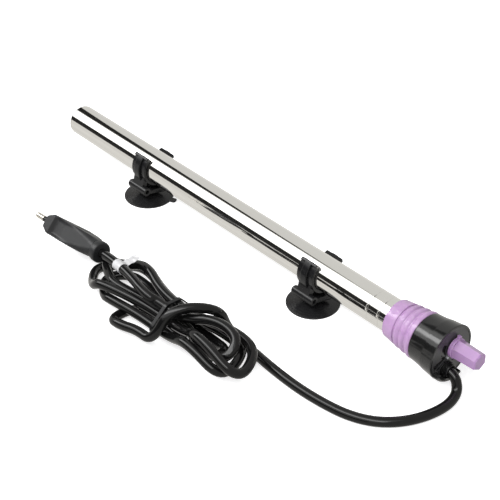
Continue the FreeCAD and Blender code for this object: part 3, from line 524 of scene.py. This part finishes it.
worn = [
    (polishedSteel(), ["tube"]),
    (lilacRubber(), ["boot"]),
    (lilacPlastic(), ["knob"]),
    (clearLens(), ["pilot_lens"]),
    (coverBlack(), ["end_cover"]),
    (cupRubber("cup_far"), ["cup_far"]),
    (cupRubber("cup_near"), ["cup_near"]),
    (materials["glossBlack"], ["head"]),
    (materials["satinBlack"], ["cord_gland", "shaft_ring", "spigot_rings", "holder_far",
                               "holder_near", "cord_tie", "pin_sleeves", "supply_wires"]),
    (materials["darkMetal"], ["cover_screw", "magnet"]),
    (materials["springMetal"], ["shaft_clip", "heating_wires", "heater_leads"]),
    (materials["bronze"], ["bimetal_strip", "contact_arm"]),
    (materials["silver"], ["bimetal_contact", "arm_contact"]),
    (materials["pinMetal"], ["plug_pins"]),
    (materials["ceramic"], ["ceramic_core", "end_pad"]),
    (materials["board"], ["thermostat_frame"]),
    (materials["palePlastic"], ["pilot_lamp", "knob_shaft", "adjusting_nut"]),
    (materials["mica"], ["mica_discs"]),
    (materials["amberCase"], ["capacitor"]),
]
for material, wearers in worn:
    for name in wearers:
        nodes[name].data.materials.clear()
        nodes[name].data.materials.append(material)
mainsLead.data.materials.append(materials["sheathBlack"])
print("finishes made")

# Plug and label, finer than their CAD solids. Sizes are in millimetres, places in metres.

sharpAngle = math.radians(38)


def finished(name, mesh, material, node, slot):
    bmesh.ops.recalc_face_normals(mesh, faces=mesh.faces)
    data = bpy.data.meshes.new(name)
    mesh.to_mesh(data)
    mesh.free()
    data.materials.append(materials[material])
    for face in data.polygons:
        face.use_smooth = True
    data.set_sharp_from_angle(angle=sharpAngle)
    piece = bpy.data.objects.new(name, data)
    bpy.context.scene.collection.objects.link(piece)
    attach(piece, "heater")
    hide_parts(node)
    return piece


def skinned(rings):
    mesh = bmesh.new()
    rows = [[mesh.verts.new(point) for point in ring] for ring in rings]
    return mesh, rows


def bridge(mesh, row, after):
    for k in range(len(row)):
        turned = (k + 1) % len(row)
        mesh.faces.new((row[k], row[turned], after[turned], after[k]))


def loft(name, rings, *wearing):
    mesh, rows = skinned(rings)
    for row, after in zip(rows, rows[1:]):
        bridge(mesh, row, after)
    mesh.faces.new(rows[0][::-1])
    mesh.faces.new(rows[-1])
    return finished(name, mesh, *wearing)


plug = {
    "face": Vector((-0.0945, -0.0838, 0.0142)),
    "tilt": Vector((0.12, 0.71, -0.69)),
    # share of the length from the heel, then width, thickness and corner
    "sections": [(0.1, 11.4, 11.2, 5.3), (0.2, 14.0, 12.6, 4.6), (0.3, 19.6, 13.5, 3.2),
                 (0.42, 25.2, 13.7, 2.2), (0.62, 33.2, 13.7, 1.6), (0.8, 34.9, 13.7, 1.4),
                 (0.87, 34.9, 13.6, 1.4), (0.985, 34.6, 8.6, 1.2), (1.0, 33.6, 7.6, 1.0)],
    "rings": 72,
    "sideParts": (12, 26),
    "cornerParts": 8,
    # the narrow sides are drawn in for a grip, most at mid thickness
    "grip": {"start": 0.79, "step": 0.035, "full": 0.74, "end": 0.3, "depth": 3.0,
             "atEdge": 0.45, "edge": 0.7},
    "scoop": {"middle": 0.56, "radius": 22.0, "depth": 1.5, "edge": 0.8},
    "lowest": 0.0001,  # in metres; the plug's lower corner rests on the floor
}
heel = Vector(lead["tail"][-1])

collar = {
    "radius": 7.15,
    "length": 5.0,
    "opening": 3.3,
    "heelRound": 1.4,
    "faceRound": 1.0,
    "turns": (0.3, 0.6, 0.9, 1.2, 1.57),  # radians round each edge
    "points": 64,
}


def plugAxes():
    ahead = (plug["face"] - heel).normalized()
    across = (plug["tilt"] - ahead * plug["tilt"].dot(ahead)).normalized()
    return ahead, across, ahead.cross(across)


def between(low, high, value):
    share = min(1.0, max(0.0, (value - low) / (high - low)))
    return share * share * (3 - 2 * share)


def sectionAt(share):
    for (start, *low), (end, *high) in zip(plug["sections"], plug["sections"][1:]):
        if share <= end:
            part = (share - start) / (end - start)
            return [a + (b - a) * part for a, b in zip(low, high)]
    return plug["sections"][-1][1:]


def onCorner(middle, radius, quarters):
    angle = math.pi / 2 * quarters
    return middle[0] + radius * math.cos(angle), middle[1] + radius * math.sin(angle)


def roundedOutline(width, thickness, corner):
    y, z = width / 2 - corner, thickness / 2 - corner
    middles = [(y, z), (-y, z), (-y, -z), (y, -z)]
    narrow, wide = plug["sideParts"]
    turns = plug["cornerParts"]
    points = []
    for quarter, (middle, after) in enumerate(zip(middles, middles[1:] + middles[:1])):
        points += [onCorner(middle, corner, quarter + k / turns) for k in range(turns)]
        here = onCorner(middle, corner, quarter + 1)
        there = onCorner(after, corner, quarter + 1)
        parts = narrow if quarter % 2 else wide
        points += [tuple(p + (q - p) * k / parts for p, q in zip(here, there))
                   for k in range(parts)]
    return points


def plugRings():
    ahead, across, upward = plugAxes()
    reach = (plug["face"] - heel).length
    grip, scoop = plug["grip"], plug["scoop"]
    first = plug["sections"][0][0]
    rings = []
    for i in range(plug["rings"] + 1):
        share = first + (1 - first) * i / plug["rings"]
        width, thickness, corner = sectionAt(share)
        pressed = grip["depth"] * (between(grip["end"], grip["full"], share)
                                   * (1 - between(grip["start"], grip["start"] + grip["step"],
                                                  share)))
        ring = []
        for y, z in roundedOutline(width, thickness, corner):
            height = abs(z) / (thickness / 2)
            loss = 1 - (1 - grip["atEdge"]) * between(grip["edge"], 1.0, height)
            y *= 1 - 2 * pressed * loss / width
            off = math.hypot(reach * 1000 * (share - scoop["middle"]), y)
            hollow = math.sqrt(max(0.0, scoop["radius"] ** 2 - off ** 2))
            hollow = max(0.0, hollow - scoop["radius"] + scoop["depth"])
            z -= math.copysign(hollow, z) * between(scoop["edge"], 1.0, height)
            point = heel + ahead * (reach * share) + (across * y + upward * z) / 1000
            point.z = max(point.z, plug["lowest"])
            ring.append(point)
        rings.append(ring)
    return rings


def collarRings():
    ahead = plugAxes()[0]
    side = ahead.cross(Vector((0, 0, 1))).normalized()
    other = ahead.cross(side)
    radius, length = collar["radius"], collar["length"]
    heelRound, faceRound = collar["heelRound"], collar["faceRound"]
    steps = [(0, collar["opening"]), (0, radius - heelRound)]
    steps += [(faceRound * (1 - math.cos(turn)), radius - heelRound + heelRound * math.sin(turn))
              for turn in collar["turns"]]
    steps += [(length - faceRound * (1 - math.cos(turn)),
               radius - faceRound + faceRound * math.sin(turn))
              for turn in collar["turns"][::-1]]
    steps += [(length, radius - faceRound), (length, collar["opening"])]
    angles = [2 * math.pi * k / collar["points"] for k in range(collar["points"])]
    return [[heel + (ahead * x + (side * math.cos(a) + other * math.sin(a)) * r) / 1000
             for a in angles] for x, r in steps]


def makePlug():
    return [loft("plugBody", plugRings(), "plugBlack", "plug_body", "plug_plastic"),
            loft("plugCollar", collarRings(), "plugBlack", "plug_body", "plug_plastic")]


label = {
    "length": 8.0,
    "inner": 3.25,
    "skin": 3.7,
    # places along the sleeve, and how far its skin bulges there
    "bulges": [(0.0, 0.0), (2.0, 0.05), (3.1, -0.12), (4.2, 0.02), (6.0, -0.1), (8.0, 0.0)],
    "crumple": {"depth": 0.07, "round": 5, "along": 2.0},
    "points": 48,
    "lean": Vector((0.14, 1, 0.2)),  # the way that the flag points
    "flag": {"foot": 3.4, "reach": 10.0, "start": 0.6, "width": 6.8, "thickness": 0.22,
             "rows": 24, "columns": 14},
    "wave": {"depth": 0.45, "along": 0.9, "outward": 0.8},
    "curl": {"depth": 0.3, "outward": 1.7},
}


def labelAxes():
    start, end = (Vector(point) for point in lead["tail"][1:3])
    ahead = (end - start).normalized()
    lean = (label["lean"] - ahead * label["lean"].dot(ahead)).normalized()
    return (start + end) / 2 - ahead * (label["length"] / 2000), ahead, lean, ahead.cross(lean)


def makeSleeve():
    base, ahead, lean, out = labelAxes()
    crumple = label["crumple"]
    angles = [2 * math.pi * k / label["points"] for k in range(label["points"])]

    def ring(x, radius, depth):
        radii = [radius + depth * math.sin(crumple["round"] * a + crumple["along"] * x)
                 for a in angles]
        return [base + (ahead * x + (out * math.cos(a) + lean * math.sin(a)) * r) / 1000
                for a, r in zip(angles, radii)]

    rings = [ring(0.0, label["inner"], 0)]
    rings += [ring(x, label["skin"] + bulge, crumple["depth"]) for x, bulge in label["bulges"]]
    rings += [ring(label["length"], label["inner"], 0)]
    mesh, rows = skinned(rings)
    for row, after in zip(rows, rows[1:] + rows[:1]):
        bridge(mesh, row, after)
    return finished("labelSleeve", mesh, "labelFilm", "cord_label", "label_white")


def makeFlag():
    base, ahead, lean, out = labelAxes()
    flag, wave, curl = label["flag"], label["wave"], label["curl"]
    columns = range(flag["columns"] + 1)
    rings = []
    for i in range(flag["rows"] + 1):
        share = i / flag["rows"]
        outward = flag["foot"] + flag["reach"] * share
        ring = []
        for side, order in ((1, columns), (-1, columns[::-1])):
            for j in order:
                x = flag["start"] + flag["width"] * j / flag["columns"]
                bend = wave["depth"] * math.sin(wave["along"] * x + wave["outward"] * outward)
                bend += curl["depth"] * math.sin(curl["outward"] * outward)
                lift = bend * share + side * flag["thickness"] / 2
                ring.append(base + (ahead * x + lean * outward + out * lift) / 1000)
        rings.append(ring)
    return loft("labelFlag", rings, "labelFilm", "cord_label", "label_white")


onLead = [nodes["cord_tie"], nodes["plug_pins"], nodes["pin_sleeves"]]
onLead + makePlug() + [makeSleeve(), makeFlag()]
print("plug and label made")

# Studio: a pale floor, one large soft box with a brighter strip, and dark cards that
# only the polished tube and the gloss plastic reflect. Sizes are in metres.

studio = {
    "floorHalf": 12.0,
    "floorTone": (0.84, 0.84, 0.845),
    "floorCloud": {"scale": 3.0, "gain": 0.99},
    "floorLift": 0.66,
    # painted reflection: the floor glows with these streaked tones where glossy surfaces mirror
    # it
    "floorPaintedReflection": ((0.97, 0.955, 0.92), (0.62, 0.605, 0.575)),
    "paintedStreakScale": (3, 45, 1),
    "roomTone": (0.74, 0.735, 0.71),
    "roomLight": 0.30,
    "cardTone": (0.01, 0.01, 0.01),
    "cardGrain": {"scale": 2.0, "roughness": 0.8, "spread": 0.1},
    "cards": {
        "frontCard": [(-4.0, -2.0, 0.06), (1.2, -2.0, 0.06), (1.2, -2.0, 0.60),
                      (-4.0, -2.0, 1.55)],
        "upperCard": [(-3.2, -0.05, 2.0), (-1.05, 0.02, 2.0), (-3.2, 1.7, 2.0)],
    },
    # width, height, power and middle
    "lights": {
        "softBox": (5.0, 1.66, 33.0, (-1.2, -0.86, 1.37)),
        "stripLight": (5.0, 0.5, 46.0, (-1.2, -0.84, 1.34)),
    },
    "lightBack": Vector((0, -0.537, 0.843)),  # the way that the lights' backs look
}


def standing(name, corners, material):
    mesh = bpy.data.meshes.new(name)
    mesh.from_pydata(corners, [], [tuple(range(len(corners)))])
    mesh.materials.append(material)
    thing = bpy.data.objects.new(name, mesh)
    bpy.context.scene.collection.objects.link(thing)
    return thing


def makeFloor():
    finish = Finish(bpy.data.materials.new("paleFloor"))
    finish.tree.nodes.clear()
    cloud = studio["floorCloud"]
    tone = finish.blend(finish.grain(cloud["scale"]), studio["floorTone"],
                        tuple(cloud["gain"] * part for part in studio["floorTone"]))
    matt = finish.node("BsdfDiffuse", {}, {"Color": tone})
    lift = finish.node("Emission", {}, {"Strength": studio["floorLift"]})
    paintedStreaks = finish.noise(1.0, vector=finish.stretched(studio["paintedStreakScale"]))
    # painted reflection: glossy rays see the floor glow with streaks instead of its lit colour
    mirrored = finish.node("Emission", {}, {"Color": finish.blend(paintedStreaks,
                                                                 *studio["floorPaintedReflection"])})
    lifted = finish.node("AddShader", {}, {0: matt, 1: lift})
    glossy = finish.node("LightPath", output="Is Glossy Ray")
    seen = finish.node("LightPath", output="Is Camera Ray")
    other = finish.node("MixShader", {}, {0: glossy, 1: matt, 2: mirrored})
    finish.result(finish.node("MixShader", {}, {0: seen, 1: other, 2: lifted}), "Material")
    half = studio["floorHalf"]
    standing("floor", [(-half, -half, 0), (half, -half, 0), (half, half, 0), (-half, half, 0)],
             finish.holder)


def makeCards():
    grain = studio["cardGrain"]

    def vary(finish):
        return {"Roughness": grain["roughness"] + grain["spread"] * finish.grain(grain["scale"])}

    card = newMaterial("darkCard", {"Base Color": studio["cardTone"]}, vary)
    for name, corners in studio["cards"].items():
        thing = standing(name, corners, card)
        thing.visible_camera = False
        thing.visible_diffuse = False
        thing.visible_shadow = False


def makeLight(name, width, height, power, middle):
    lamp = bpy.data.lights.new(name, "AREA")
    lamp.shape = "RECTANGLE"
    lamp.size = width
    lamp.size_y = height
    lamp.energy = power
    box = bpy.data.objects.new(name, lamp)
    bpy.context.scene.collection.objects.link(box)
    across = Vector((1, 0, 0))
    back = studio["lightBack"]
    turn = Matrix((across, back.cross(across), back)).transposed().to_4x4()
    box.matrix_world = Matrix.Translation(middle) @ turn


def makeWorld():
    world = bpy.data.worlds.new("room")
    bpy.context.scene.world = world
    finish = Finish(world)
    finish.tree.nodes.clear()
    mirrored = finish.node("LightPath", output="Is Glossy Ray")
    through = finish.node("LightPath", output="Is Transmission Ray")
    seen = finish.node("LightPath", output="Is Camera Ray")
    shown = finish.node("Background", {}, {"Color": (1, 1, 1)})
    reflected = finish.node("Background", {}, {"Color": studio["roomTone"]})
    light = finish.node("Background", {}, {"Color": (1, 1, 1),
                                           "Strength": studio["roomLight"]})
    first = finish.node("MixShader", {}, {0: mirrored + through, 1: light, 2: reflected})
    finish.result(finish.node("MixShader", {}, {0: seen, 1: first, 2: shown}), "World")


makeFloor()
makeCards()
for name, light in studio["lights"].items():
    makeLight(name, *light)
makeWorld()
bpy.context.scene.view_settings.view_transform = "Standard"
print("studio set")
